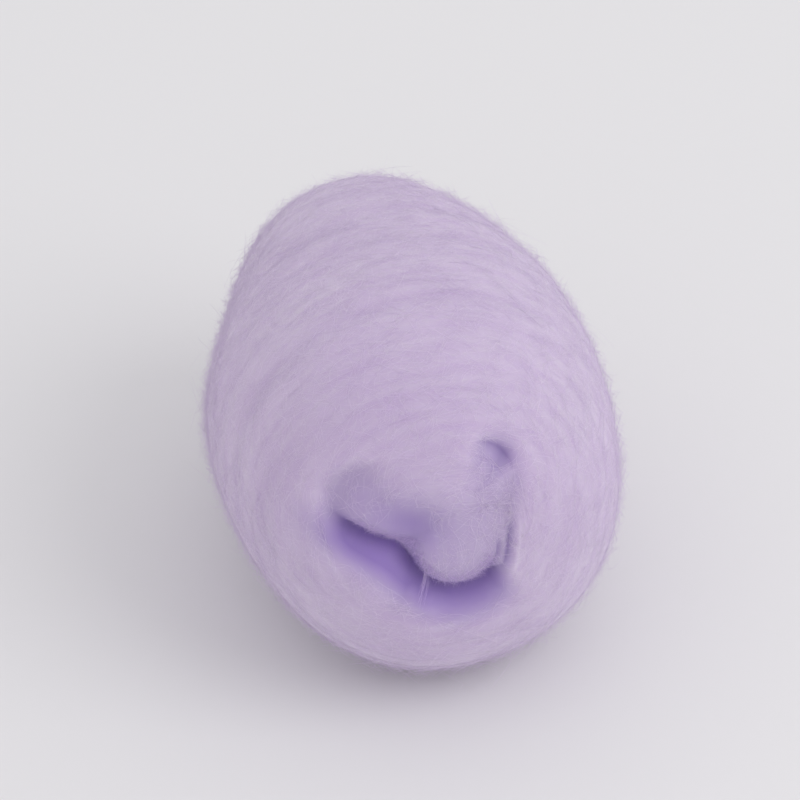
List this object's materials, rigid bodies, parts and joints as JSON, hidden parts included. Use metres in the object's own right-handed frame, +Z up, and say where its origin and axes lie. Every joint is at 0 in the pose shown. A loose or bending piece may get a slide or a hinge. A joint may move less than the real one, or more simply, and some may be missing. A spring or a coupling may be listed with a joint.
{
  "type": "cotton ball",
  "caption": "Soft, rounded roll of lavender cotton, wound from one strip, with a folded-in tongue at its front end and a small flat spot to lie on.",
  "frame": {"origin": "under the middle of the roll, on the surface that it lies on", "axes": "+Y along the roll's axis from its front end, with the tongue fold, to its back end; +Z up; +X to the right of someone who faces the front end"},
  "size_m": [0.0314, 0.0396, 0.0338],
  "materials": {
    "cotton": "dull, soft, fuzzy cotton fibre"
  },
  "bodies": {
    "root": {"cotton_roll": "cotton"}
  },
  "joints": []
}
